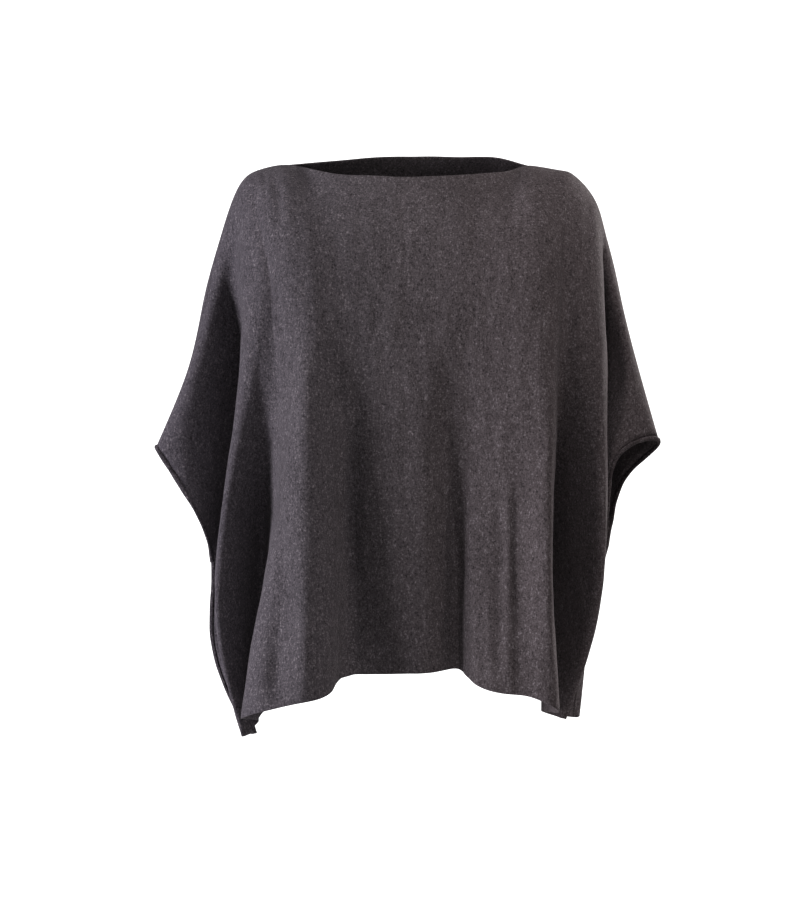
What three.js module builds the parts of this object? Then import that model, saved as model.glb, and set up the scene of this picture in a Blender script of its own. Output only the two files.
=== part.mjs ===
// Knitted poncho sweater with a boat neck and open batwing sides, hollow and
// standing in its worn, draped form. Millimetres. +X is the wearer's left,
// -Y the front, +Z up. The origin is the middle of the neck opening, level with
// the tops of the shoulders.
//
// Each panel is a thin wall on a smooth surface. The surface runs through a row
// of fold lines (ridges and hollows that hang from the shoulder or the neck to
// the hem), and each fold line is set at six stations on its way down.
import * as THREE from 'three';

// ---------------------------------------------------------------- sizes (mm)
const WALL = 2.0;            // felted knit
const GAP = 0.3;             // between sewn pieces
const NECK_EASE = 42;        // width over which the shoulder roll fades beside the neck
const WELD_REACH = 45;       // how far a shared edge draws its panel along
const ROLL_WIDTH = 5.2;      // cuff edge, in the plane of the cloth
const ROLL_CLEAR = 0.7;       // between a cut edge and its cuff edge
const ROLL_THICK = 3.0;      // cuff edge, through the cloth
const WELT_WIDTH = 5.6;      // raised side seam
const WELT_THICK = 2.4;
const ACROSS = 2;            // wall facets between two fold lines
const DOWN = [5, 4, 4, 5, 5]; // wall facets between two stations
const ROLL_SIDES = 8;

// Stations: share of the way from the top edge of a fold line to the hem.
const STATIONS = [
  { name: 'top', share: 0 }, { name: 'yoke', share: 0.12 }, { name: 'chest', share: 0.30 },
  { name: 'arm', share: 0.50 }, { name: 'low', share: 0.75 }, { name: 'hem', share: 1 },
];
const ARM_STATION = 3;       // the arm opening ends here, the side seam starts

// Fold lines, from the wearer's right side to the left one. x, y (and z where it
// isn't the station's share of the way down).
const FRONT = [
  { line: 'side_right',  top: [-301, -4, -345], yoke: [-281, -24, -375], chest: [-257, -36, -413], arm: [-233, 4, -490], low: [-235, 10, -574], hem: [-190, 14, -697] },
  { line: 'wing_right',  top: [-266, -4, -260], yoke: [-255, -15], chest: [-242, -7, -384], arm: [-224, 2, -480], low: [-226, 4], hem: [-189, 4, -696] },
  { line: 'wing_hollow', top: [-237, 1, -145], yoke: [-210, 5], chest: [-203, 20], arm: [-212, 10, -440], low: [-223, -22], hem: [-189, -9, -695] },
  { line: 'outer_ridge', top: [-211, 1, -50], yoke: [-198, -62], chest: [-191, -84], arm: [-203, -78], low: [-209, -54], hem: [-191, -33, -690] },
  { line: 'deep_hollow', top: [-198, 0, -24], yoke: [-182, -78], chest: [-169, -98], arm: [-172, -64], low: [-175, -12], hem: [-178, -22, -678] },
  { line: 'main_ridge',  top: [-174, 0, -9], yoke: [-163, -86], chest: [-147, -106], arm: [-141, -112], low: [-165, -114], hem: [-189, -121, -663] },
  { line: 'neck_corner', top: [-145, 0, -4], yoke: [-141, -97], chest: [-122, -128], arm: [-118, -139], low: [-126, -148], hem: [-132, -156, -645] },
  { line: 'ridge_inner', top: [-107, -46, -15], yoke: [-100, -99], chest: [-92, -125], arm: [-91, -130], low: [-86, -136], hem: [-88, -144, -633] },
  { line: 'hollow',      top: [-73, -66, -23], yoke: [-68, -101], chest: [-67, -121], arm: [-70, -115], low: [-66, -99], hem: [-73, -106, -617] },
  { line: 'hollow_end',  top: [-38, -73, -25], yoke: [-37, -102], chest: [-40, -121], arm: [-44, -119], low: [-43, -112], hem: [-42, -103, -614] },
  { line: 'middle',      top: [-3, -77, -27], yoke: [-3, -102], chest: [-3, -122], arm: [-2, -124], low: [0, -124], hem: [2, -120, -612] },
  { line: 'fold_edge',   top: [30, -75, -26], yoke: [29, -102], chest: [28, -122], arm: [28, -124], low: [31, -121], hem: [36, -119, -610] },
  { line: 'hollow',      top: [62, -69, -24], yoke: [58, -102], chest: [53, -122], arm: [50, -114], low: [58, -98], hem: [63, -101, -608] },
  { line: 'step_ridge',  top: [95, -54, -20], yoke: [88, -100], chest: [82, -123], arm: [80, -118], low: [79, -121], hem: [80, -136, -622] },
  { line: 'crease',      top: [127, -32, -14], yoke: [121, -99], chest: [115, -126], arm: [114, -128], low: [113, -132], hem: [116, -147, -633] },
  { line: 'neck_corner', top: [152, 0, -5], yoke: [155, -97], chest: [151, -129], arm: [147, -137], low: [144, -144], hem: [148, -153, -637] },
  { line: 'main_ridge',  top: [179, 0, -9], yoke: [178, -90], chest: [172, -123], arm: [170, -139], low: [167, -157], hem: [174, -155, -649] },
  { line: 'deep_hollow', top: [206, 0, -17], yoke: [196, -80], chest: [192, -94], arm: [183, -56], low: [170, -14], hem: [165, -30, -665] },
  { line: 'outer_ridge', top: [228, 1, -42], yoke: [231, -62], chest: [233, -80], arm: [231, -84], low: [222, -72], hem: [188, -30, -673] },
  { line: 'wing_hollow', top: [248, 1, -103], yoke: [238, 2], chest: [237, 8], arm: [230, -10, -420], low: [228, -22], hem: [190, -8, -675] },
  { line: 'wing_left',   top: [274, -3, -215], yoke: [264, -26, -284], chest: [240, -25, -356], arm: [227, -15, -474], low: [221, -7, -572], hem: [190, 3, -676] },
  { line: 'side_left',   top: [308, -3, -337], yoke: [259, -32, -352], chest: [244, -29, -401], arm: [235, 4, -512], low: [219, 10, -590], hem: [192, 14, -675] },
];
const BACK = [
  { line: 'side_right',  top: [-301, -4, -345], yoke: [-279, 24, -377], chest: [-255, 40, -415], arm: [-233, 4, -490], low: [-235, 10, -574], hem: [-190, 14, -697] },
  { line: 'wing_right',  top: [-266, -4, -260], yoke: [-262, 30], chest: [-247, 46, -384], arm: [-229, 40, -484], low: [-227, 28], hem: [-189, 26, -699] },
  { line: 'wing_hollow', top: [-237, 1, -145], yoke: [-231, 44], chest: [-227, 56], arm: [-222, 56], low: [-215, 46], hem: [-184, 43, -700] },
  { line: 'outer_ridge', top: [-211, 1, -50], yoke: [-207, 56], chest: [-207, 74], arm: [-211, 82], low: [-208, 74], hem: [-189, 62, -694] },
  { line: 'side_hollow', top: [-198, 0, -24], yoke: [-190, 76], chest: [-188, 90], arm: [-188, 86], low: [-185, 78], hem: [-176, 80, -676] },
  { line: 'side_face',   top: [-174, 0, -9], yoke: [-168, 88], chest: [-163, 106], arm: [-162, 106], low: [-160, 108], hem: [-156, 112, -662] },
  { line: 'neck_corner', top: [-145, 0, -4], yoke: [-140, 94], chest: [-133, 112], arm: [-130, 116], low: [-128, 124], hem: [-126, 130, -648] },
  { line: 'hollow',      top: [-107, 28, 3], yoke: [-102, 98], chest: [-97, 112], arm: [-95, 106], low: [-94, 100], hem: [-94, 96, -640] },
  { line: 'face',        top: [-72, 45, 8], yoke: [-70, 100], chest: [-67, 113], arm: [-65, 109], low: [-64, 105], hem: [-66, 103, -633] },
  { line: 'fall',        top: [-42, 55, 12], yoke: [-40, 101], chest: [-38, 113], arm: [-37, 112], low: [-36, 112], hem: [-38, 116, -627] },
  { line: 'ridge',       top: [-10, 61, 14], yoke: [-10, 101], chest: [-9, 113], arm: [-9, 116], low: [-8, 124], hem: [-8, 129, -622] },
  { line: 'ridge_end',   top: [11, 61, 14], yoke: [10, 101], chest: [10, 112], arm: [10, 111], low: [11, 111], hem: [12, 110, -621] },
  { line: 'hollow',      top: [34, 59, 14], yoke: [32, 100], chest: [31, 111], arm: [31, 105], low: [32, 98], hem: [34, 95, -620] },
  { line: 'face',        top: [70, 50, 12], yoke: [68, 100], chest: [66, 112], arm: [66, 108], low: [68, 106], hem: [70, 105, -625] },
  { line: 'ridge',       top: [113, 30, 9], yoke: [109, 98], chest: [106, 113], arm: [106, 118], low: [108, 126], hem: [108, 132, -633] },
  { line: 'neck_corner', top: [152, 0, -5], yoke: [150, 92], chest: [146, 108], arm: [144, 102], low: [142, 96], hem: [142, 94, -645] },
  { line: 'side_face',   top: [179, 0, -9], yoke: [176, 85], chest: [176, 101], arm: [177, 102], low: [176, 102], hem: [172, 104, -655] },
  { line: 'side_hollow', top: [206, 0, -17], yoke: [200, 74], chest: [204, 88], arm: [207, 88], low: [206, 86], hem: [194, 88, -667] },
  { line: 'outer_ridge', top: [228, 1, -42], yoke: [229, 54], chest: [235, 66], arm: [236, 70], low: [223, 66], hem: [211, 70, -677] },
  { line: 'wing_hollow', top: [248, 1, -103], yoke: [247, 42], chest: [247, 54], arm: [240, 54], low: [228, 52], hem: [215, 50, -679] },
  { line: 'wing_left',   top: [274, -3, -215], yoke: [268, 30], chest: [256, 46, -372], arm: [238, 42, -480], low: [223, 34, -580], hem: [210, 32, -679] },
  { line: 'side_left',   top: [308, -3, -337], yoke: [275, 26, -375], chest: [253, 36, -438], arm: [235, 4, -512], low: [219, 10, -590], hem: [192, 14, -675] },
];

// ------------------------------------------------------------- small algebra
const add = (a, b, k = 1) => [a[0] + b[0] * k, a[1] + b[1] * k, a[2] + b[2] * k];
const sub = (a, b) => add(a, b, -1);
const mul = (a, k) => [a[0] * k, a[1] * k, a[2] * k];
const dot = (a, b) => a[0] * b[0] + a[1] * b[1] + a[2] * b[2];
const cross = (a, b) => [a[1] * b[2] - a[2] * b[1], a[2] * b[0] - a[0] * b[2], a[0] * b[1] - a[1] * b[0]];
const len = (a) => Math.hypot(a[0], a[1], a[2]);
const unit = (a) => mul(a, 1 / (len(a) || 1));
const mix = (a, b, k) => add(mul(a, 1 - k), b, k);
const smooth = (x) => { const t = Math.min(1, Math.max(0, x)); return t * t * (3 - 2 * t); };

// Smooth curve through points at the given knots. `start` is the direction it
// leaves the first point with, or null where it leaves freely.
function curve(knots, points, start = null) {
  const n = knots.length;
  const h = (i) => knots[i + 1] - knots[i];
  const slope = (i) => mul(sub(points[i + 1], points[i]), 1 / h(i));
  const lower = [], diag = [], upper = [], right = [];
  for (let i = 0; i < n; i += 1) {
    if (i === 0) {
      lower.push(0); diag.push(start ? 2 * h(0) : 1); upper.push(start ? h(0) : 0);
      right.push(start ? mul(sub(slope(0), start), 6) : [0, 0, 0]);
    } else if (i === n - 1) {
      lower.push(0); diag.push(1); upper.push(0); right.push([0, 0, 0]);
    } else {
      lower.push(h(i - 1)); diag.push(2 * (h(i - 1) + h(i))); upper.push(h(i));
      right.push(mul(sub(slope(i), slope(i - 1)), 6));
    }
  }
  for (let i = 1; i < n; i += 1) {
    const k = lower[i] / diag[i - 1];
    diag[i] -= k * upper[i - 1];
    right[i] = add(right[i], right[i - 1], -k);
  }
  const bend = new Array(n);
  bend[n - 1] = mul(right[n - 1], 1 / diag[n - 1]);
  for (let i = n - 2; i >= 0; i -= 1) bend[i] = mul(sub(right[i], mul(bend[i + 1], upper[i])), 1 / diag[i]);
  const at = (q) => {
    let i = 0;
    while (i < n - 2 && q > knots[i + 1]) i += 1;
    const a = (knots[i + 1] - q) / h(i), b = (q - knots[i]) / h(i), s = h(i) * h(i) / 6;
    return add(add(mul(points[i], a), points[i + 1], b),
      add(mul(bend[i], (a * a * a - a) * s), bend[i + 1], (b * b * b - b) * s));
  };
  at.leaving = sub(slope(0), mul(add(mul(bend[0], 2), bend[1]), h(0) / 6));
  return at;
}
const chordKnots = (points) => {
  const k = [0];
  for (let i = 1; i < points.length; i += 1) k.push(k[i - 1] + Math.max(len(sub(points[i], points[i - 1])), 0.5));
  return k;
};
// `parts[i]` equal steps in every interval of a knot list.
const steps = (knots, parts) => {
  const out = [];
  for (let i = 0; i + 1 < knots.length; i += 1) {
    for (let s = 0; s < parts[i]; s += 1) out.push(knots[i] + (knots[i + 1] - knots[i]) * s / parts[i]);
  }
  out.push(knots[knots.length - 1]);
  return out;
};

// ------------------------------------------------------------- panel surface
const lineCount = FRONT.length;
const corners = FRONT.map((f, i) => (f.line === 'neck_corner' ? i : -1)).filter((i) => i >= 0);
const armRow = DOWN.slice(0, ARM_STATION).reduce((a, b) => a + b, 0);
const last = ACROSS * (lineCount - 1);

// Points of every fold line at every station: [station][line].
function stationPoints(lines) {
  return STATIONS.map(({ name, share }) => lines.map((f) => {
    const p = f[name];
    return p.length === 3 ? [...p] : [p[0], p[1], f.top[2] + share * (f.hem[2] - f.top[2])];
  }));
}
// Every station as a smooth row across the panel: [station][column].
function stationRows(lines) {
  const pts = stationPoints(lines);
  const knots = [0];
  for (let c = 1; c < lineCount; c += 1) {
    const mean = pts.reduce((s, row) => s + len(sub(row[c], row[c - 1])), 0) / pts.length;
    knots.push(knots[c - 1] + mean);
  }
  const us = steps(knots, new Array(lineCount - 1).fill(ACROSS));
  return pts.map((row) => { const at = curve(knots, row); return us.map(at); });
}
const frontRows = stationRows(FRONT), backRows = stationRows(BACK);

// How far a column is inside the neck opening: 0 on the shoulders, 1 well inside.
const neckShare = (rows, i) => {
  const [a, b] = corners.map((c) => c * ACROSS);
  if (i <= a || i >= b) return 0;
  const reach = (from) => len(sub(rows[0][i], rows[0][from]));
  return smooth(Math.min(reach(a), reach(b)) / NECK_EASE);
};
// Columns down the panel: [column][row].
function panelGrid(rows, towards) {
  const grid = [];
  for (let i = 0; i <= last; i += 1) {
    const pts = rows.map((r) => r[i]);
    const knots = chordKnots(pts);
    const over = mul(unit(sub(backRows[1][i], frontRows[1][i])), towards);
    const free = curve(knots, pts).leaving;
    const at = curve(knots, pts, mix(over, free, neckShare(rows, i)));
    grid.push(steps(knots, DOWN).map(at));
  }
  return grid;
}
const front = panelGrid(frontRows, -1), back = panelGrid(backRows, 1);

// Shared edges: the two panels are drawn to one line over the shoulders and
// down the side seams.
function weld() {
  const pull = (grid, line, at, shift) => {
    const edge = line(grid, 0);
    for (let k = 0; k < 40; k += 1) {
      const p = line(grid, k);
      if (!p) break;
      const fade = 1 - Math.min(1, len(sub(p, edge)) / WELD_REACH);
      if (fade <= 0) break;
      at(grid, k, add(p, shift, fade * fade));
    }
  };
  const join = (line, at) => {
    const f = line(front, 0), b = line(back, 0);
    const half = mul(sub(b, f), 0.5);
    pull(front, line, at, half);
    pull(back, line, at, mul(half, -1));
  };
  const [a, b] = corners.map((c) => c * ACROSS);
  for (let i = 0; i <= last; i += 1) {
    if (i <= a || i >= b) join((g, k) => g[i][k], (g, k, p) => { g[i][k] = p; });
  }
  for (let j = armRow; j < front[0].length; j += 1) {
    join((g, k) => (k <= last ? g[k][j] : null), (g, k, p) => { g[k][j] = p; });
    join((g, k) => (k <= last ? g[last - k][j] : null), (g, k, p) => { g[last - k][j] = p; });
  }
}
weld();

const rowsDown = front[0].length - 1;
// Outward normal of a panel point; `out` is -1 for the front and 1 for the back.
function normalAt(grid, i, j, out) {
  const x = sub(grid[Math.min(last, i + 1)][j], grid[Math.max(0, i - 1)][j]);
  const z = sub(grid[i][Math.max(0, j - 1)], grid[i][Math.min(rowsDown, j + 1)]);
  return mul(unit(cross(z, x)), out);
}
// A sewn edge is cut square to the line between the panels, a gap apart.
function edgeFrame(i, j, tangent) {
  const nf = normalAt(front, i, j, -1), nb = normalAt(back, i, j, 1);
  let n = add(nf, nb);
  n = unit(sub(n, mul(tangent, dot(n, tangent))));
  const stretch = 1 / Math.max(0.5, dot(n, nf));
  return { n, stretch };
}
const isShoulder = (i) => i <= corners[0] * ACROSS || i >= corners[1] * ACROSS;
const isSeam = (i, j) => (i === 0 || i === last) && j >= armRow;

function panelWall(grid, out) {
  const faces = [[], []];
  for (let i = 0; i <= last; i += 1) {
    faces[0].push([]); faces[1].push([]);
    for (let j = 0; j <= rowsDown; j += 1) {
      let p = grid[i][j], n = normalAt(grid, i, j, out), stretch = 1;
      const shoulder = j === 0 && isShoulder(i), seam = isSeam(i, j);
      if (shoulder || seam) {
        const tangent = shoulder
          ? unit(sub(grid[Math.min(last, i + 1)][0], grid[Math.max(0, i - 1)][0]))
          : unit(sub(grid[i][Math.min(rowsDown, j + 1)], grid[i][Math.max(armRow, j - 1)]));
        ({ n, stretch } = edgeFrame(i, j, tangent));
        const inward = shoulder ? sub(grid[i][1], p) : sub(grid[i === 0 ? 1 : last - 1][j], p);
        let side = unit(cross(n, tangent));
        if (dot(side, inward) < 0) side = mul(side, -1);
        p = add(p, side, GAP / 2);
      }
      faces[0][i].push(add(p, n, stretch * WALL / 2));
      faces[1][i].push(add(p, n, -stretch * WALL / 2));
    }
  }
  return faces;
}

// ------------------------------------------------------------------- solids
function solid(name, quads, color) {
  const pos = [];
  for (const [a, b, c, d] of quads) {
    pos.push(...a, ...b, ...c);
    if (d) pos.push(...a, ...c, ...d);
  }
  let volume = 0;
  for (let t = 0; t < pos.length; t += 9) {
    const [a, b, c] = [0, 3, 6].map((k) => pos.slice(t + k, t + k + 3));
    volume += dot(a, cross(b, c)) / 6;
  }
  if (volume < 0) {
    for (let t = 0; t < pos.length; t += 9) {
      for (let k = 0; k < 3; k += 1) [pos[t + 3 + k], pos[t + 6 + k]] = [pos[t + 6 + k], pos[t + 3 + k]];
    }
  }
  const geometry = new THREE.BufferGeometry();
  geometry.setAttribute('position', new THREE.Float32BufferAttribute(pos, 3));
  geometry.computeVertexNormals();
  const mesh = new THREE.Mesh(geometry, new THREE.MeshStandardMaterial({ color, roughness: 0.95, metalness: 0 }));
  mesh.name = name;
  return mesh;
}
function wallSolid(name, [outer, inner], color) {
  const q = [], ni = outer.length - 1, nj = outer[0].length - 1;
  for (let i = 0; i < ni; i += 1) {
    for (let j = 0; j < nj; j += 1) {
      q.push([outer[i][j], outer[i + 1][j], outer[i + 1][j + 1], outer[i][j + 1]]);
      q.push([inner[i][j + 1], inner[i + 1][j + 1], inner[i + 1][j], inner[i][j]]);
    }
  }
  for (let i = 0; i < ni; i += 1) {
    q.push([inner[i][0], inner[i + 1][0], outer[i + 1][0], outer[i][0]]);
    q.push([outer[i][nj], outer[i + 1][nj], inner[i + 1][nj], inner[i][nj]]);
  }
  for (let j = 0; j < nj; j += 1) {
    q.push([outer[0][j], outer[0][j + 1], inner[0][j + 1], inner[0][j]]);
    q.push([inner[ni][j], inner[ni][j + 1], outer[ni][j + 1], outer[ni][j]]);
  }
  return solid(name, q, color);
}
// Closed loop or open strip of equal cross-sections.
function sweep(name, rings, closed, color) {
  const q = [], n = rings.length, m = rings[0].length;
  for (let r = 0; r < (closed ? n : n - 1); r += 1) {
    const a = rings[r], b = rings[(r + 1) % n];
    for (let k = 0; k < m; k += 1) q.push([a[k], a[(k + 1) % m], b[(k + 1) % m], b[k]]);
  }
  if (!closed) {
    for (let k = 1; k + 1 < m; k += 1) {
      q.push([rings[0][0], rings[0][k + 1], rings[0][k]]);
      q.push([rings[n - 1][0], rings[n - 1][k], rings[n - 1][k + 1]]);
    }
  }
  return solid(name, q, color);
}

// Rolled edge round an arm opening: down the front edge, up the back edge, just
// clear of the cut edges of both panels.
function cuffRoll(name, i, color) {
  const loop = [];
  for (let j = 0; j <= armRow; j += 1) loop.push({ grid: front, j, out: -1 });
  for (let j = armRow - 1; j > 0; j -= 1) loop.push({ grid: back, j, out: 1 });
  const n = loop.length;
  const point = (k) => { const s = loop[(k + n) % n]; return s.grid[i][s.j]; };
  const rings = loop.map((s, k) => {
    const shared = s.j === 0 || s.j === armRow;
    const into = unit(sub(point(k), point(k - 1))), onto = unit(sub(point(k + 1), point(k)));
    let tangent = unit(add(into, onto));
    let nrm = shared ? unit(add(normalAt(front, i, s.j, -1), normalAt(back, i, s.j, 1))) : normalAt(s.grid, i, s.j, s.out);
    if (s.j === armRow) tangent = unit(sub(onto, mul(into, 1)));
    let side, reach = ROLL_CLEAR + ROLL_WIDTH / 2;
    if (s.j === armRow) {
      side = tangent;                                   // up, between the two edges
      reach /= Math.max(0.35, len(cross(side, onto)));
    } else {
      side = unit(mul(cross(nrm, tangent), i === 0 ? -1 : 1));   // away from the panel
      reach /= Math.max(0.7, dot(into, tangent));
    }
    nrm = unit(sub(nrm, mul(side, dot(nrm, side))));
    const centre = add(point(k), side, reach);
    const ring = [];
    for (let a = 0; a < ROLL_SIDES; a += 1) {
      const t = 2 * Math.PI * (a + 0.5) / ROLL_SIDES;
      ring.push(add(add(centre, side, Math.cos(t) * ROLL_WIDTH / 2), nrm, Math.sin(t) * ROLL_THICK / 2));
    }
    return ring;
  });
  return sweep(name, rings, true, color);
}

// Raised side seam, laid on both panels along the seam line.
function seamWelt(name, i, color) {
  const inner = i === 0 ? 1 : last - 1;
  const rings = [];
  for (let j = armRow; j <= rowsDown; j += 1) {
    const p = front[i][j];
    const tangent = unit(sub(front[i][Math.min(rowsDown, j + 1)], front[i][Math.max(armRow, j - 1)]));
    const { n, stretch } = edgeFrame(i, j, tangent);
    const foot = (grid, out) => {
      const d = sub(grid[inner][j], p);
      const at = add(p, unit(sub(d, mul(tangent, dot(d, tangent)))), WELT_WIDTH / 2);
      return { at, n: unit(mix(n, normalAt(grid, i, j, out), 0.5)) };
    };
    const f = foot(front, -1), b = foot(back, 1);
    const clear = WALL / 2 + GAP + 0.15;
    const along = j === armRow ? 1.2 : 0;                // starts just under the cuff roll
    const put = (s, q, h) => add(add(s, q, h), tangent, along);
    rings.push([
      put(f.at, f.n, clear), put(p, n, stretch * WALL / 2 + GAP + 0.1), put(b.at, b.n, clear),
      put(mix(b.at, p, 0.15), n, clear + WELT_THICK * 0.7), put(p, n, stretch * WALL / 2 + GAP + WELT_THICK),
      put(mix(f.at, p, 0.15), n, clear + WELT_THICK * 0.7),
    ]);
  }
  return sweep(name, rings, false, color);
}

// ---------------------------------------------------------------- assembly
const KNIT = 0x474245, EDGE = 0x3e393c;
const group = new THREE.Group();
group.name = 'poncho_sweater';
group.add(wallSolid('front', panelWall(front, -1), KNIT));
group.add(wallSolid('back', panelWall(back, 1), KNIT));
group.add(cuffRoll('cuff_edge_right', 0, EDGE));
group.add(cuffRoll('cuff_edge_left', last, EDGE));
group.add(seamWelt('side_seam_right', 0, EDGE));
group.add(seamWelt('side_seam_left', last, EDGE));
export default group;
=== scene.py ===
"""Knitted poncho sweater, worn form, hollow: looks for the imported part.

Metres, in the part's own frame: +X the wearer's left, -Y the front, +Z up, the
origin in the middle of the neck opening. The cloth surfaces repeat the part's
fold tables (millimetres) at a finer step, with rounded edges and small creases.
"""
import json
import math

import bpy
import numpy as np
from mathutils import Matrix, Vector


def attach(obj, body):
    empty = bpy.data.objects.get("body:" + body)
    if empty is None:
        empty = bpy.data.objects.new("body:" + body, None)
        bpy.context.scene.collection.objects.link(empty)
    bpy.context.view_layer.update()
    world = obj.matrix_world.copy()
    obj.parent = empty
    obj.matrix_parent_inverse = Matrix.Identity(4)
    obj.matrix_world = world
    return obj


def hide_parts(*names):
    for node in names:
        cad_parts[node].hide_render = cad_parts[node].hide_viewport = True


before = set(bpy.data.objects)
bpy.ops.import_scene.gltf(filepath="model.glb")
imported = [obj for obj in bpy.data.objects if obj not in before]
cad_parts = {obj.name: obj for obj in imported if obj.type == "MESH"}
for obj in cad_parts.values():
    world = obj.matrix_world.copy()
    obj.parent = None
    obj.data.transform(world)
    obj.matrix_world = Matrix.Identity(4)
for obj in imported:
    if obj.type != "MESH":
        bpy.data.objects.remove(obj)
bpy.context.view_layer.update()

# ------------------------------------------------------------- sizes (mm)
WALL = 2.0
GAP = 0.3
NECK_EASE = 42
WELD_REACH = 45
ROLL_WIDTH = 5.4
ROLL_THICK = 4.6
WELT_WIDTH = 5.8
WELT_THICK = 2.6
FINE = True
ACROSS = 12 if FINE else 6                        # facets between two fold lines
DOWN = [28, 26, 26, 30, 32] if FINE else [14, 13, 13, 15, 16]
CAP = 3                                           # facets over a rounded free edge

STATIONS = ["top", "yoke", "chest", "arm", "low", "hem"]
SHARE = [0, 0.12, 0.30, 0.50, 0.75, 1]
ARM_STATION = 3

# Fold lines from the wearer's right side to the left: x, y and, where it isn't
# the station's share of the way down, z.
FRONT = [
    # line          top              yoke                chest               arm                 low                hem
    ("side_right",  (-301, -4, -345), (-281, -24, -375), (-257, -36, -413), (-233, 4, -490), (-235, 10, -574), (-190, 14, -697)),
    ("wing_right",  (-266, -4, -260), (-255, -15), (-242, -7, -384), (-224, 2, -480), (-226, 4), (-189, 4, -696)),
    ("wing_hollow", (-237, 1, -145), (-210, 5), (-203, 20), (-212, 10, -440), (-223, -22), (-189, -9, -695)),
    ("outer_ridge", (-211, 1, -50), (-198, -62), (-191, -84), (-203, -78), (-209, -54), (-191, -33, -690)),
    ("deep_hollow", (-198, 0, -24), (-182, -78), (-169, -98), (-172, -64), (-175, -12), (-178, -22, -678)),
    ("main_ridge",  (-174, 0, -9), (-163, -86), (-147, -106), (-141, -112), (-165, -114), (-189, -121, -663)),
    ("neck_corner", (-145, 0, -4), (-141, -97), (-122, -128), (-118, -139), (-126, -148), (-132, -156, -645)),
    ("ridge_inner", (-107, -46, -15), (-100, -99), (-92, -125), (-91, -130), (-86, -136), (-88, -144, -633)),
    ("hollow",      (-73, -66, -23), (-68, -101), (-67, -121), (-70, -115), (-66, -99), (-73, -106, -617)),
    ("hollow_end",  (-38, -73, -25), (-37, -102), (-40, -121), (-44, -119), (-43, -112), (-42, -103, -614)),
    ("middle",      (-3, -77, -27), (-3, -102), (-3, -122), (-2, -124), (0, -124), (2, -120, -612)),
    ("fold_edge",   (30, -75, -26), (29, -102), (28, -122), (28, -124), (31, -121), (36, -119, -610)),
    ("hollow",      (62, -69, -24), (58, -102), (53, -122), (50, -114), (58, -98), (63, -101, -608)),
    ("step_ridge",  (95, -54, -20), (88, -100), (82, -123), (80, -118), (79, -121), (80, -136, -622)),
    ("crease",      (127, -32, -14), (121, -99), (115, -126), (114, -128), (113, -132), (116, -147, -633)),
    ("neck_corner", (152, 0, -5), (155, -97), (151, -129), (147, -137), (144, -144), (148, -153, -637)),
    ("main_ridge",  (179, 0, -9), (178, -90), (172, -123), (170, -139), (167, -157), (174, -155, -649)),
    ("deep_hollow", (206, 0, -17), (196, -80), (192, -94), (183, -56), (170, -14), (165, -30, -665)),
    ("outer_ridge", (228, 1, -42), (231, -62), (233, -80), (231, -84), (222, -72), (188, -30, -673)),
    ("wing_hollow", (248, 1, -103), (238, 2), (237, 8), (230, -10, -420), (228, -22), (190, -8, -675)),
    ("wing_left",   (274, -3, -215), (264, -26, -284), (240, -25, -356), (227, -15, -474), (221, -7, -572), (190, 3, -676)),
    ("side_left",   (308, -3, -337), (259, -32, -352), (244, -29, -401), (235, 4, -512), (219, 10, -590), (192, 14, -675)),
]
BACK = [
    ("side_right",  (-301, -4, -345), (-279, 24, -377), (-255, 40, -415), (-233, 4, -490), (-235, 10, -574), (-190, 14, -697)),
    ("wing_right",  (-266, -4, -260), (-262, 30), (-247, 46, -384), (-229, 40, -484), (-227, 28), (-189, 26, -699)),
    ("wing_hollow", (-237, 1, -145), (-231, 44), (-227, 56), (-222, 56), (-215, 46), (-184, 43, -700)),
    ("outer_ridge", (-211, 1, -50), (-207, 56), (-207, 74), (-211, 82), (-208, 74), (-189, 62, -694)),
    ("side_hollow", (-198, 0, -24), (-190, 76), (-188, 90), (-188, 86), (-185, 78), (-176, 80, -676)),
    ("side_face",   (-174, 0, -9), (-168, 88), (-163, 106), (-162, 106), (-160, 108), (-156, 112, -662)),
    ("neck_corner", (-145, 0, -4), (-140, 94), (-133, 112), (-130, 116), (-128, 124), (-126, 130, -648)),
    ("hollow",      (-107, 28, 3), (-102, 98), (-97, 112), (-95, 106), (-94, 100), (-94, 96, -640)),
    ("face",        (-72, 45, 8), (-70, 100), (-67, 113), (-65, 109), (-64, 105), (-66, 103, -633)),
    ("fall",        (-42, 55, 12), (-40, 101), (-38, 113), (-37, 112), (-36, 112), (-38, 116, -627)),
    ("ridge",       (-10, 61, 14), (-10, 101), (-9, 113), (-9, 116), (-8, 124), (-8, 129, -622)),
    ("ridge_end",   (11, 61, 14), (10, 101), (10, 112), (10, 111), (11, 111), (12, 110, -621)),
    ("hollow",      (34, 59, 14), (32, 100), (31, 111), (31, 105), (32, 98), (34, 95, -620)),
    ("face",        (70, 50, 12), (68, 100), (66, 112), (66, 108), (68, 106), (70, 105, -625)),
    ("ridge",       (113, 30, 9), (109, 98), (106, 113), (106, 118), (108, 126), (108, 132, -633)),
    ("neck_corner", (152, 0, -5), (150, 92), (146, 108), (144, 102), (142, 96), (142, 94, -645)),
    ("side_face",   (179, 0, -9), (176, 85), (176, 101), (177, 102), (176, 102), (172, 104, -655)),
    ("side_hollow", (206, 0, -17), (200, 74), (204, 88), (207, 88), (206, 86), (194, 88, -667)),
    ("outer_ridge", (228, 1, -42), (229, 54), (235, 66), (236, 70), (223, 66), (211, 70, -677)),
    ("wing_hollow", (248, 1, -103), (247, 42), (247, 54), (240, 54), (228, 52), (215, 50, -679)),
    ("wing_left",   (274, -3, -215), (268, 30), (256, 46, -372), (238, 42, -480), (223, 34, -580), (210, 32, -679)),
    ("side_left",   (308, -3, -337), (275, 26, -375), (253, 36, -438), (235, 4, -512), (219, 10, -590), (192, 14, -675)),
]

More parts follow.
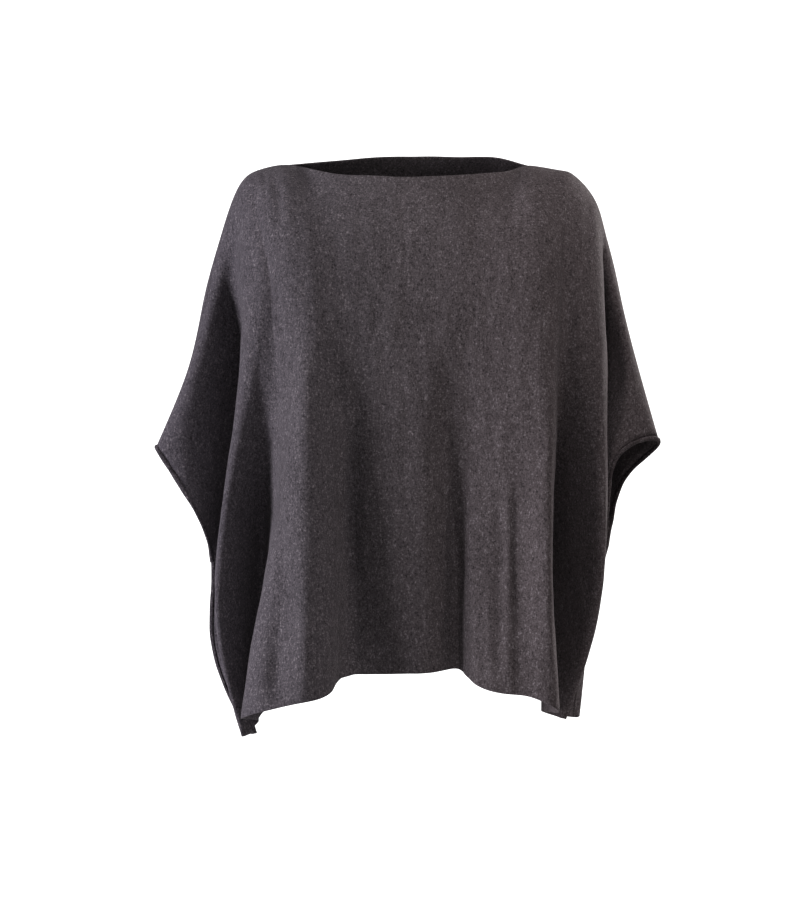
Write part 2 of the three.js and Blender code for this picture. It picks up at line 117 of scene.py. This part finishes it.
# Small creases laid on the smooth panels. x and z of the two ends (mm),
# height out of the cloth (negative is a trough) and half-width (mm).
CREASES = {
    "front": [
        # x0,   z0,   x1,   z1,  height, half-width
        (121, -360, 121, -660, 4.6, 6.0),
        (110, -380, 106, -640, -0.9, 6.0),
        (135, -560, 150, -640, 0.8, 8.0),
        (88, -400, 89, -660, -1.7, 8.0),
        (-166, -20, -158, -110, 1.6, 9.0),
        (-183, -30, -178, -120, -1.6, 9.0),
        (-150, -30, -149, -90, -0.8, 7.0),
        (186, -60, 192, -230, -1.4, 11.0),
        (-118, -480, -121, -640, -1.0, 7.0),
        (-152, -540, -158, -650, -0.9, 6.0),
        (-62, -250, -66, -460, -1.3, 12.0),
        (40, -330, 32, -520, -1.2, 11.0),
        (-40, -430, -36, -600, -1.0, 9.0),
        (14, -400, 18, -600, -0.8, 10.0),
        (60, -300, 64, -470, 0.8, 9.0),
        (150, -260, 160, -420, -0.9, 10.0),
        (-148, -380, -150, -660, -9.0, 15.0),
        (-115, -220, -117, -690, 7.5, 12.0),
        (-218, -120, -222, -240, -1.0, 8.0),
        (-262, -290, -240, -390, -1.0, 10.0),
        (258, -200, 262, -300, -0.8, 8.0),
        (-206, -42, -216, -245, -7.0, 13.0),
        (212, -430, 208, -560, 0.8, 7.0),
    ],
    "back": [
        (-120, -300, -122, -600, -2.2, 11.0),
        (-76, -260, -74, -520, 1.5, 12.0),
        (-34, -380, -36, -600, -0.9, 8.0),
        (6, -300, 6, -590, -1.6, 11.0),
        (48, -420, 52, -600, 0.8, 8.0),
        (88, -350, 88, -600, -1.9, 9.0),
        (126, -430, 128, -620, -0.9, 8.0),
        (160, -240, 164, -560, 1.8, 12.0),
        (-148, -420, -146, -630, 0.8, 9.0),
        (-178, -60, -172, -190, -2.0, 12.0),
        (186, -60, 188, -200, -2.1, 13.0),
        (192, -460, 190, -640, -0.9, 9.0),
    ],
}

N_LINES = len(FRONT)
LAST = ACROSS * (N_LINES - 1)
ROWS = sum(DOWN)
ARM_ROW = sum(DOWN[:ARM_STATION])
CORNERS = [i * ACROSS for i, f in enumerate(FRONT) if f[0] == "neck_corner"]
rng = np.random.default_rng(4219)


# ------------------------------------------------------------ small helpers
def unit(a):
    return a / np.maximum(np.linalg.norm(a, axis=-1, keepdims=True), 1e-12)


def smooth(x):
    t = np.clip(x, 0, 1)
    return t * t * (3 - 2 * t)


def curve(knots, points, q, start=None):
    """Smooth curve through points at the knots, read at q, and the direction it
    leaves the first point with."""
    n = len(knots)
    h = np.diff(knots)
    a, r = np.zeros((n, n)), np.zeros_like(points, float)
    for i in range(1, n - 1):
        a[i, i - 1:i + 2] = h[i - 1], 2 * (h[i - 1] + h[i]), h[i]
        r[i] = 6 * ((points[i + 1] - points[i]) / h[i] - (points[i] - points[i - 1]) / h[i - 1])
    a[-1, -1] = 1
    if start is None:
        a[0, 0] = 1
    else:
        a[0, :2] = 2 * h[0], h[0]
        r[0] = 6 * ((points[1] - points[0]) / h[0] - start)
    bend = np.linalg.solve(a, r)
    i = np.clip(np.searchsorted(knots, q, side="right") - 1, 0, n - 2)
    s = ((knots[i + 1] - q) / h[i])[:, None]
    t = ((q - knots[i]) / h[i])[:, None]
    k = (h[i] ** 2)[:, None] / 6
    out = s * points[i] + t * points[i + 1] + k * ((s ** 3 - s) * bend[i] + (t ** 3 - t) * bend[i + 1])
    leaving = (points[1] - points[0]) / h[0] - h[0] * (2 * bend[0] + bend[1]) / 6
    return out, leaving


def steps(knots, parts):
    out = [knots[i] + (knots[i + 1] - knots[i]) * s / parts[i] for i in range(len(knots) - 1) for s in range(parts[i])]
    return np.array(out + [knots[-1]])


# ------------------------------------------------------------ panel surface
def station_points(lines):
    pts = np.zeros((len(STATIONS), N_LINES, 3))
    for c, (_, *at) in enumerate(lines):
        for k, p in enumerate(at):
            z = p[2] if len(p) == 3 else at[0][2] + SHARE[k] * (at[-1][2] - at[0][2])
            pts[k, c] = p[0], p[1], z
    return pts


def station_rows(lines):
    pts = station_points(lines)
    knots = np.concatenate([[0], np.cumsum(np.linalg.norm(np.diff(pts, axis=1), axis=2).mean(0))])
    us = steps(knots, [ACROSS] * (N_LINES - 1))
    return np.array([curve(knots, row, us)[0] for row in pts])


front_rows, back_rows = station_rows(FRONT), station_rows(BACK)


def neck_share(rows, i):
    a, b = CORNERS
    if i <= a or i >= b:
        return 0.0
    reach = min(np.linalg.norm(rows[0][i] - rows[0][a]), np.linalg.norm(rows[0][i] - rows[0][b]))
    return float(smooth(reach / NECK_EASE))


def panel_grid(rows, towards):
    grid = np.zeros((LAST + 1, ROWS + 1, 3))
    for i in range(LAST + 1):
        pts = rows[:, i]
        knots = np.concatenate([[0], np.cumsum(np.maximum(np.linalg.norm(np.diff(pts, axis=0), axis=1), 0.5))])
        over = unit(back_rows[1][i] - front_rows[1][i]) * towards
        _, free = curve(knots, pts, knots[:1])
        k = neck_share(rows, i)
        grid[i], _ = curve(knots, pts, steps(knots, DOWN), over * (1 - k) + free * k)
    return grid


front, back = panel_grid(front_rows, -1), panel_grid(back_rows, 1)


def weld():
    """Draw both panels to one line over the shoulders and down the side seams."""
    def join(lf, lb):
        half = (lb[0] - lf[0]) / 2
        for line, shift in ((lf, half), (lb, -half)):
            fade = 1 - np.clip(np.linalg.norm(line - line[0], axis=1) / WELD_REACH, 0, 1)
            stop = np.argmax(fade <= 0) if (fade <= 0).any() else len(fade)
            fade[stop:] = 0
            line += (fade ** 2)[:, None] * shift
    for i in range(LAST + 1):
        if i <= CORNERS[0] or i >= CORNERS[1]:
            join(front[i], back[i])
    for j in range(ARM_ROW, ROWS + 1):
        join(front[:, j], back[:, j])
        join(front[::-1, j], back[::-1, j])


weld()


def normals(grid, out):
    x = np.empty_like(grid)
    x[1:-1] = grid[2:] - grid[:-2]
    x[0], x[-1] = grid[1] - grid[0], grid[-1] - grid[-2]
    z = np.empty_like(grid)
    z[:, 1:-1] = grid[:, :-2] - grid[:, 2:]
    z[:, 0], z[:, -1] = grid[:, 0] - grid[:, 1], grid[:, -2] - grid[:, -1]
    return unit(np.cross(z, x)) * out


def crease(grid, n, lines):
    """Soft troughs and ridges, moved along the cloth's normal, fading out at
    both ends and at the sewn edges."""
    h = np.zeros(grid.shape[:2])
    for x0, z0, x1, z1, height, half in lines:
        a, d = np.array([x0, z0], float), np.array([x1 - x0, z1 - z0], float)
        p = grid[..., [0, 2]] - a
        t = (p @ d) / (d @ d)
        off = np.abs(p @ np.array([-d[1], d[0]])) / np.linalg.norm(d)
        wander = 1 + 0.25 * np.sin(t * 9 + x0)
        ends = smooth(t / 0.25) * smooth((1 - t) / 0.2)
        h += height * ends * np.exp(-(off / (half * wander)) ** 2)
    i = np.arange(LAST + 1)[:, None] * np.ones((1, ROWS + 1))
    j = np.arange(ROWS + 1)[None, :] * np.ones((LAST + 1, 1))
    calm = smooth(np.minimum(i, LAST - i) / (ACROSS * 1.0)) * smooth(j / (DOWN[0] * 0.6))
    return grid + n * (h * calm)[..., None]


def ripple(grid, n, seed):
    """The low, uneven waver of hanging felted knit, mostly up and down the cloth."""
    r = np.random.default_rng(seed)
    u = np.concatenate([[0], np.cumsum(np.linalg.norm(np.diff(grid[:, ROWS // 2], axis=0), axis=1))])[:, None]
    v = np.concatenate([[0], np.cumsum(np.linalg.norm(np.diff(grid[LAST // 2], axis=0), axis=1))])[None, :]
    h = 0
    for wide, long, amp in ((55, 240, 0.75), (31, 150, 0.5), (19, 90, 0.32), (12, 60, 0.16)):
        for _ in range(4):
            a, b = r.uniform(0.75, 1.3, 2)
            p, q, s = r.uniform(0, 2 * math.pi, 3)
            h = h + amp / 2 * np.sin(2 * math.pi * u / (wide * a) + p + 1.2 * np.sin(2 * math.pi * v / (long * b) + q)) \
                * (0.6 + 0.4 * np.sin(2 * math.pi * v / (long * b * 1.7) + s))
    i = np.arange(LAST + 1)[:, None]
    j = np.arange(ROWS + 1)[None, :]
    calm = smooth(np.minimum(i, LAST - i) / (ACROSS * 0.8)) * smooth(j / (DOWN[0] * 0.9))
    return grid + n * (h * calm)[..., None]


front = ripple(crease(front, normals(front, -1), CREASES["front"]), normals(front, -1), 11)
back = ripple(crease(back, normals(back, 1), CREASES["back"]), normals(back, 1), 12)
nf, nb = normals(front, -1), normals(back, 1)


def edge_frames(pf, pb, tangent):
    n = pf + pb
    n = unit(n - tangent * (n * tangent).sum(-1, keepdims=True))
    stretch = 1 / np.maximum(0.5, (n * pf).sum(-1, keepdims=True))
    return n, stretch


top_tangent = unit(np.gradient(front[:, 0], axis=0))
side_tangent = {i: unit(np.gradient(front[i, ARM_ROW:], axis=0)) for i in (0, LAST)}


def offset_frames(grid, n):
    """The point, the offset direction and its stretch for every grid point. Sewn
    edges are cut square to the line between the panels, a gap apart."""
    p, m, s = grid.copy(), n.copy(), np.ones(grid.shape[:2] + (1,))
    on = [i for i in range(LAST + 1) if i <= CORNERS[0] or i >= CORNERS[1]]
    e, st = edge_frames(nf[on, 0], nb[on, 0], top_tangent[on])
    side = unit(np.cross(e, top_tangent[on]))
    side *= np.sign((side * (grid[on, 1] - grid[on, 0])).sum(-1, keepdims=True))
    p[on, 0], m[on, 0], s[on, 0] = grid[on, 0] + side * GAP / 2, e, st
    for i in (0, LAST):
        rows = slice(ARM_ROW, ROWS + 1)
        t = side_tangent[i]
        e, st = edge_frames(nf[i, rows], nb[i, rows], t)
        side = unit(np.cross(e, t))
        inner = 1 if i == 0 else LAST - 1
        side *= np.sign((side * (grid[inner, rows] - grid[i, rows])).sum(-1, keepdims=True))
        p[i, rows], m[i, rows], s[i, rows] = grid[i, rows] + side * GAP / 2, e, st
    return p, m, s


def cloth_length(grid):
    """Distances across and down the cloth, in mm: the knit's own directions."""
    down = np.zeros(grid.shape[:2])
    down[:, 1:] = np.cumsum(np.linalg.norm(np.diff(grid, axis=1), axis=2), axis=1)
    mid = LAST // 2
    across = np.zeros(grid.shape[:2])
    seg = np.linalg.norm(np.diff(grid, axis=0), axis=2)
    across[mid + 1:] = np.cumsum(seg[mid:], axis=0)
    across[:mid] = -np.cumsum(seg[:mid][::-1], axis=0)[::-1]
    return across, down


def new_mesh(name, verts, faces, uv, material, body="root"):
    mesh = bpy.data.meshes.new(name)
    mesh.from_pydata((np.asarray(verts) / 1000).tolist(), [], faces)
    layer = mesh.uv_layers.new(name="knit")
    loops = np.zeros(len(mesh.loops), np.int64)
    mesh.loops.foreach_get("vertex_index", loops)
    layer.data.foreach_set("uv", (np.asarray(uv, float)[loops] / 1000).astype(np.float32).ravel())
    mesh.polygons.foreach_set("use_smooth", np.ones(len(mesh.polygons), bool))
    mesh.materials.append(material)
    mesh.validate()
    mesh.update()
    o = bpy.data.objects.new(name, mesh)
    bpy.context.scene.collection.objects.link(o)
    return o


def panel(name, grid, n, out, material):
    """Closed shell: outer and inner face, square sewn edges, rounded free edges."""
    p, m, s = offset_frames(grid, n)
    half = WALL / 2
    outer, inner = p + m * s * half, p - m * s * half
    across, down = cloth_length(grid)
    ni, nj = grid.shape[:2]
    verts = [outer.reshape(-1, 3), inner.reshape(-1, 3)]
    uv = [np.stack([across, down], -1).reshape(-1, 2)] * 2
    ids = [np.arange(ni * nj).reshape(ni, nj), ni * nj + np.arange(ni * nj).reshape(ni, nj)]
    a, b = ids
    quads = [np.stack([a[:-1, :-1], a[1:, :-1], a[1:, 1:], a[:-1, 1:]], -1).reshape(-1, 4),
             np.stack([b[:-1, 1:], b[1:, 1:], b[1:, :-1], b[:-1, :-1]], -1).reshape(-1, 4)]
    # The border, once round: (i, j) and how far a rounded edge stands out there.
    ring = [(i, 0) for i in range(ni)] + [(ni - 1, j) for j in range(1, nj)] \
        + [(i, nj - 1) for i in range(ni - 2, -1, -1)] + [(0, j) for j in range(nj - 2, 0, -1)]
    ring = np.array(ring)
    i, j = ring.T
    free = ((j == nj - 1) & (i > 0) & (i < ni - 1)) | ((j == 0) & (i > CORNERS[0]) & (i < CORNERS[1]))
    inward = np.where((j == 0)[:, None], grid[i, np.minimum(j + 1, nj - 1)] - grid[i, j],
             np.where((j == nj - 1)[:, None], grid[i, np.maximum(j - 1, 0)] - grid[i, j],
             np.where((i == 0)[:, None], grid[np.minimum(i + 1, ni - 1), j] - grid[i, j],
                      grid[np.maximum(i - 1, 0), j] - grid[i, j])))
    away = -unit(inward - m[i, j] * (inward * m[i, j]).sum(-1, keepdims=True))
    base = sum(len(v) for v in verts)
    rings = [a[i, j]]
    for c in range(1, CAP + 1):
        t = math.pi * c / (CAP + 1)
        pts = p[i, j] + m[i, j] * s[i, j] * half * math.cos(t) + away * (half * math.sin(t) * 0.9 * free)[:, None]
        verts.append(pts)
        uv.append(np.stack([across[i, j], down[i, j] + half * math.sin(t)], -1))
        rings.append(base + np.arange(len(ring)))
        base += len(ring)
    rings.append(b[i, j])
    for lo, hi in zip(rings, rings[1:]):
        quads.append(np.stack([np.roll(lo, -1), lo, hi, np.roll(hi, -1)], -1))
    quads = np.concatenate(quads)
    if out > 0:
        quads = quads[:, ::-1]
    return new_mesh(name, np.concatenate(verts), quads.tolist(), np.concatenate(uv), material)


def swept(name, rings, closed, material, along):
    """Loop or strip of equal cross-sections: [ring][side]."""
    rings = np.asarray(rings)
    n, m = rings.shape[:2]
    k = np.arange(m)
    quads = []
    for r in range(n if closed else n - 1):
        a, b = r * m, ((r + 1) % n) * m
        quads += np.stack([a + k, a + (k + 1) % m, b + (k + 1) % m, b + k], -1).tolist()
    faces = [list(q) for q in quads]
    if not closed:
        faces += [list(range(m))[::-1], [(n - 1) * m + x for x in range(m)]]
    flat = rings.reshape(-1, 3)
    round_ = np.tile(np.cumsum(np.linalg.norm(np.diff(rings[0], axis=0, prepend=rings[0][-1:]), axis=1)), n)
    uv = np.stack([round_, np.repeat(along, m)], -1)
    a = flat[[f[0] for f in faces]]
    b = flat[[f[1] for f in faces]]
    c = flat[[f[2] for f in faces]]
    d = flat[[f[-1] for f in faces]]
    vol = (np.cross(b - a, c - a) * a).sum() + (np.cross(c - a, d - a) * a).sum()
    if vol < 0:
        faces = [f[::-1] for f in faces]
    return new_mesh(name, flat, faces, uv, material)


ROLL_SIDES = 14


def cuff_roll(name, i, material):
    """The arm opening's edge curls outwards into a thin roll, a little uneven
    along its length, just clear of both panels' cut edges."""
    loop = [(front, nf, j) for j in range(ARM_ROW + 1)] + [(back, nb, j) for j in range(ARM_ROW - 1, 0, -1)]
    pts = np.array([g[i, j] for g, _, j in loop])
    n = len(loop)
    arc = np.concatenate([[0], np.cumsum(np.linalg.norm(np.diff(pts, axis=0), axis=1))])
    rings = []
    for k, (g, nn, j) in enumerate(loop):
        into, onto = unit(pts[k] - pts[k - 1]), unit(pts[(k + 1) % n] - pts[k])
        tangent = unit(into + onto)
        nrm = unit(nf[i, j] + nb[i, j]) if j in (0, ARM_ROW) else nn[i, j]
        reach = ROLL_WIDTH / 2 - 0.8
        if j == ARM_ROW:
            side = unit(onto - into)
            reach /= max(0.35, np.linalg.norm(np.cross(side, onto)))
        else:
            side = unit(np.cross(nrm, tangent) * (-1 if i == 0 else 1))
            reach /= max(0.7, float(into @ tangent))
        nrm = unit(nrm - side * (nrm @ side))
        fat = 1 + 0.05 * math.sin(arc[k] / 9.0) + 0.04 * math.sin(arc[k] / 4.3 + 1)
        centre = pts[k] + side * reach + nrm * 0.4
        t = 2 * math.pi * (np.arange(ROLL_SIDES) + 0.5) / ROLL_SIDES
        # a roll that is fuller on the outside of the cloth, with a groove beside it
        rn = np.where(np.sin(t) > 0, 0.56, 0.44) * ROLL_THICK * fat
        rings.append(centre + np.cos(t)[:, None] * side * ROLL_WIDTH / 2 * fat + np.sin(t)[:, None] * nrm * rn[:, None])
    return swept(name, rings, True, material, arc)


def seam_welt(name, i, material):
    inner = (1 if i == 0 else LAST - 1)
    reach = max(2, ACROSS // 3)
    near = reach if i == 0 else LAST - reach
    rings, arc = [], [0]
    for k, j in enumerate(range(ARM_ROW, ROWS + 1)):
        p, t = front[i, j], side_tangent[i][k]
        n, stretch = (x[0] for x in edge_frames(nf[i:i + 1, j], nb[i:i + 1, j], t[None]))
        stretch = float(stretch[0])
        n_f, n_b = unit(n + nf[i, j]), unit(n + nb[i, j])

        def foot(g):
            d = g[near, j] - p
            return p + unit(d - t * (d @ t)) * WELT_WIDTH / 2

        f, b = foot(front), foot(back)
        arc.append(arc[-1] + (np.linalg.norm(front[i, j] - front[i, j - 1]) if k else 0))
        plump = 1 + 0.06 * math.sin(arc[-1] / 6.0)
        clear, high = WALL / 2 + GAP + 0.1, WELT_THICK * plump
        rings.append([
            f + n_f * clear, p + n * (stretch * WALL / 2 + GAP), b + n_b * clear,
            b + n_b * (clear + high * 0.45), b * 0.8 + p * 0.2 + n * (clear + high * 0.82),
            b * 0.45 + p * 0.55 + n * (clear + high * 1.0), p + n * (stretch * WALL / 2 + GAP + high * 0.92),
            f * 0.45 + p * 0.55 + n * (clear + high * 1.0), f * 0.8 + p * 0.2 + n * (clear + high * 0.82),
            f + n_f * (clear + high * 0.45),
        ])
    rings = np.array(rings)
    rings[0] -= side_tangent[i][0] * 6.0               # runs up under the cuff roll
    return swept(name, rings, False, material, np.array(arc[1:]))


# ---------------------------------------------------------------- materials
class Nodes:
    """Short way to add and wire shader nodes."""

    def __init__(self, tree):
        self.tree = tree

    def __call__(self, kind, props=None, **inputs):
        n = self.tree.nodes.new("ShaderNode" + kind)
        for k, v in (props or {}).items():
            setattr(n, k, v)
        for k, v in inputs.items():
            key = k.replace("_", " ")
            slot = n.inputs[int(k[1:])] if k[0] == "i" and k[1:].isdigit() else n.inputs[key]
            if isinstance(v, bpy.types.NodeSocket):
                self.tree.links.new(v, slot)
            else:
                slot.default_value = v
        return n

    def math(self, op, a, b=0.0, c=None, clamp=False):
        n = self("Math", {"operation": op, "use_clamp": clamp}, i0=a, i1=b)
        if c is not None:
            n.inputs[2].default_value = c
        return n.outputs[0]


def knit_material(name, base, light, dark, painted_warm_light, painted_cool_light, rough_scale=1.0):
    """Felted heather knit: fine columns of stitches almost hidden by the felted
    surface, with lighter and darker fibres through it."""
    mat = bpy.data.materials.new(name)
    mat.use_nodes = True
    t = mat.node_tree
    t.nodes.clear()
    N = Nodes(t)
    out = N("OutputMaterial")
    bsdf = N("BsdfPrincipled")
    t.links.new(bsdf.outputs[0], out.inputs["Surface"])
    uv = N("UVMap", {"uv_map": "knit"}).outputs[0]
    obj = N("TexCoord").outputs["Object"]

    def noise(vec, scale, detail, rough, stretch=None):
        if stretch:
            vec = N("Mapping", None, Vector=vec, Scale=stretch).outputs[0]
        n = N("TexNoise", {"noise_dimensions": "3D"}, Vector=vec, Scale=scale, Detail=detail, Roughness=rough)
        return n.outputs[0]

    def band(x, lo, hi, to_lo=0.0, to_hi=1.0):
        n = N("MapRange", {"interpolation_type": "SMOOTHSTEP"}, Value=x)
        n.inputs["From Min"].default_value, n.inputs["From Max"].default_value = lo, hi
        n.inputs["To Min"].default_value, n.inputs["To Max"].default_value = to_lo, to_hi
        return n.outputs[0]

    def mix(f, a, b):
        n = N("Mix", {"data_type": "RGBA"})
        for key, v in ((0, f), (6, a), (7, b)):
            if isinstance(v, bpy.types.NodeSocket):
                t.links.new(v, n.inputs[key])
            else:
                n.inputs[key].default_value = v
        return n.outputs[2]

    def scaled(x, k):
        return N.math("MULTIPLY", N.math("SUBTRACT", x, 0.5), k)

    rgb = lambda c: (*c, 1.0)
    # heather: short fibres, most of them up and down the cloth, some across it
    fine = noise(obj, 640, 3, 0.65, (1.0, 1.0, 0.55))
    across = noise(obj, 620, 2, 0.6, (0.6, 0.6, 1.0))
    speck = noise(obj, 330, 2, 0.6, (1.0, 1.0, 0.6))
    mottle = noise(obj, 120, 3, 0.6, (1.0, 1.0, 0.6))
    cloud = noise(obj, 22, 4, 0.6)
    broad = noise(obj, 5.5, 3, 0.5)
    col = mix(band(cloud, 0.35, 0.68), rgb(base), rgb([c * 1.10 for c in base]))
    # painted light: the warm fill lamp's tint painted on the +x side of the cloth, and the cool key lamp's tint on the
    # -x side
    side = N("SeparateXYZ", None, Vector=obj).outputs[0]
    col = mix(band(side, -0.14, 0.2, 0.0, 0.6), col, rgb(painted_warm_light))
    col = mix(band(side, -0.28, 0.0, 0.6, 0.0), col, rgb(painted_cool_light))
    tone = N.math("ADD", scaled(fine, 1.9), scaled(speck, 0.75))
    tone = N.math("ADD", tone, scaled(across, 1.2))
    tone = N.math("ADD", tone, scaled(mottle, 0.5))
    tone = N.math("ADD", tone, scaled(broad, 0.25))
    col = mix(band(tone, 0.02, -0.62, 0.0, 0.92), col, rgb(dark))
    col = mix(band(tone, -0.02, 0.72, 0.0, 0.86), col, rgb(light))
    # a few pale fibres stand out
    pale = N("TexVoronoi", {"feature": "F1"}, Vector=N("Mapping", None, Vector=obj, Scale=(1.0, 1.0, 0.5)).outputs[0], Scale=300.0)
    spots = N.math("MULTIPLY", band(pale.outputs["Distance"], 0.14, 0.05), band(N("SeparateColor", None, Color=pale.outputs["Color"]).outputs[0], 0.80, 0.90))
    col = mix(N.math("MULTIPLY", spots, 0.08), col, rgb([c * 1.5 for c in light]))
    t.links.new(col, bsdf.inputs["Base Color"])
    # relief: stitches (columns 1.9 mm wide, rows 1.5 mm high), felt and pilling
    xyz = N("SeparateXYZ", None, Vector=uv)
    u, v = xyz.outputs[0], xyz.outputs[1]
    slant = N.math("ABSOLUTE", N.math("SINE", N.math("MULTIPLY", u, math.pi / 0.0019)))
    rows = N.math("SINE", N.math("ADD", N.math("MULTIPLY", v, 2 * math.pi / 0.0015), N.math("MULTIPLY", slant, 2.2)))
    stitch = N.math("MULTIPLY", N.math("ADD", N.math("MULTIPLY", rows, 0.5), 0.5), N.math("POWER", slant, 0.7))
    felt = noise(obj, 620, 4, 0.7, (1.0, 1.0, 0.6))
    lump = noise(obj, 160, 3, 0.55)
    height = N.math("ADD", N.math("MULTIPLY", stitch, 0.22), N.math("MULTIPLY", felt, 0.9))
    height = N.math("ADD", height, N.math("MULTIPLY", lump, 0.9))
    bump = N("Bump", None, Strength=0.55, Distance=0.0009 * rough_scale, Height=height)
    t.links.new(bump.outputs[0], bsdf.inputs["Normal"])
    r = band(felt, 0.3, 0.7, 0.86, 0.98)
    t.links.new(r, bsdf.inputs["Roughness"])
    bsdf.inputs["Specular IOR Level"].default_value = 0.18
    bsdf.inputs["Sheen Weight"].default_value = 0.06
    bsdf.inputs["Sheen Roughness"].default_value = 0.45
    bsdf.inputs["Sheen Tint"].default_value = (0.72, 0.66, 0.70, 1.0)
    return mat


def lin(r, g, b):
    f = lambda c: c / 12.92 if c <= 0.04045 else ((c + 0.055) / 1.055) ** 2.4
    return [f(x / 255) for x in (r, g, b)]


# the last two colours of each are painted light: the warm fill lamp's tint and the cool key lamp's tint, painted on the
# two sides
knit = knit_material("knit", lin(72, 68, 71), lin(122, 116, 120), lin(36, 33, 35), lin(77, 69, 70), lin(72, 68, 76))
edge = knit_material("edge_knit", lin(61, 57, 60), lin(122, 115, 119), lin(24, 21, 23), lin(67, 60, 61), lin(62, 58, 65))

# ------------------------------------------------------------------- pieces
made = {}
made["front"] = panel("front_panel", front, nf, -1, knit)
made["back"] = panel("back_panel", back, nb, 1, knit)
made["cuff_edge_right"] = cuff_roll("cuff_roll_right", 0, edge)
made["cuff_edge_left"] = cuff_roll("cuff_roll_left", LAST, edge)
made["side_seam_right"] = seam_welt("seam_welt_right", 0, edge)
made["side_seam_left"] = seam_welt("seam_welt_left", LAST, edge)
for node, o in made.items():
    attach(o, "root")
    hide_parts(node)


def area(grid):
    a = np.cross(grid[1:, :-1] - grid[:-1, :-1], grid[:-1, 1:] - grid[:-1, :-1])
    b = np.cross(grid[1:, 1:] - grid[:-1, 1:], grid[1:, 1:] - grid[1:, :-1])
    return (np.linalg.norm(a, axis=2).sum() + np.linalg.norm(b, axis=2).sum()) / 2e6


CUT = {}
for name, grid in (("front", front), ("back", back)):
    row = np.linalg.norm(np.diff(grid, axis=0), axis=2).sum(0)
    col = np.linalg.norm(np.diff(grid, axis=1), axis=2).sum(1)
    CUT[name] = {"area": area(grid), "widest": row.max() / 1000, "hem": row[-1] / 1000, "top": row[0] / 1000, "middle": col[LAST // 2] / 1000,
                 "longest": col.max() / 1000, "side": float(col[0]) / 1000}
print("cloth", json.dumps(CUT))

# -------------------------------------------------------------------- stage
bpy.ops.mesh.primitive_plane_add(size=4.4, location=(0, 0, -1.35))
floor = bpy.context.object
floor.name = "floor"
fm = bpy.data.materials.new("floor_pale")
fm.use_nodes = True
fb = fm.node_tree.nodes["Principled BSDF"]
fb.inputs["Base Color"].default_value = (0.82, 0.82, 0.82, 1)
fb.inputs["Roughness"].default_value = 0.9
# the floor fades out towards its rim, so no edge of it shows
F = Nodes(fm.node_tree)
away = F("VectorMath", {"operation": "LENGTH"}, i0=F("TexCoord").outputs["Object"]).outputs["Value"]
fade = F("MapRange", {"interpolation_type": "SMOOTHSTEP"}, Value=away)
fade.inputs["From Min"].default_value, fade.inputs["From Max"].default_value = 0.9, 2.1
faded = F("MixShader", None, i0=fade.outputs[0], i1=fb.outputs[0], i2=F("BsdfTransparent").outputs[0])
fm.node_tree.links.new(faded.outputs[0], fm.node_tree.nodes["Material Output"].inputs["Surface"])
floor.data.materials.append(fm)

world = bpy.data.worlds.new("studio")
bpy.context.scene.world = world
world.use_nodes = True
# The studio's white surroundings: full white where the camera sees them, and a
# weak even light on the cloth.
W = Nodes(world.node_tree)
world.node_tree.nodes.clear()
seen = W("Background", None, Color=(1, 1, 1, 1), Strength=1.0)
around = W("Background", None, Color=(1, 1, 1, 1), Strength=0.035)
both = W("MixShader", None, i0=W("LightPath").outputs["Is Camera Ray"], i1=around.outputs[0], i2=seen.outputs[0])
W("OutputWorld", None, Surface=both.outputs[0])


def softbox(name, at, aim, size, watts, colour=(1, 1, 1)):
    data = bpy.data.lights.new(name, "AREA")
    data.shape, data.size, data.size_y = "RECTANGLE", size[0], size[1]
    data.energy, data.color = watts, colour
    o = bpy.data.objects.new(name, data)
    o.location = at
    o.rotation_euler = (Vector(aim) - Vector(at)).to_track_quat("-Z", "Y").to_euler()
    o.visible_camera = False
    bpy.context.scene.collection.objects.link(o)
    return o


softbox("key_left", (-3.0, -0.85, -0.35), (0, 0, -0.35), (0.9, 1.3), 116, (0.97, 0.97, 1.0))
softbox("front_top", (0.35, -1.35, 1.6), (0, 0, -0.3), (1.4, 0.8), 38, (1.0, 0.985, 0.97))
softbox("fill_right", (2.9, -1.35, -0.1), (0, 0, -0.35), (0.9, 1.3), 17, (1.0, 0.93, 0.88))
softbox("back_soft", (2.4, 2.1, 0.7), (0, 0, -0.35), (1.1, 1.4), 100, (1.0, 0.98, 0.96))

view = bpy.context.scene.view_settings
view.view_transform = "Standard"
view.look = "None"
view.exposure = 0.6
view.gamma = 0.8

cam = bpy.data.cameras.new("camera")
cam.lens = 96.9
cam.sensor_width = 36
cam.sensor_fit = "AUTO"
cam.clip_end = 50
co = bpy.data.objects.new("camera", cam)
co.location = (-0.006, -3.0, -0.359)
co.rotation_euler = (math.radians(90), 0, 0)
bpy.context.scene.collection.objects.link(co)
bpy.context.scene.camera = co

bpy.context.view_layer.update()
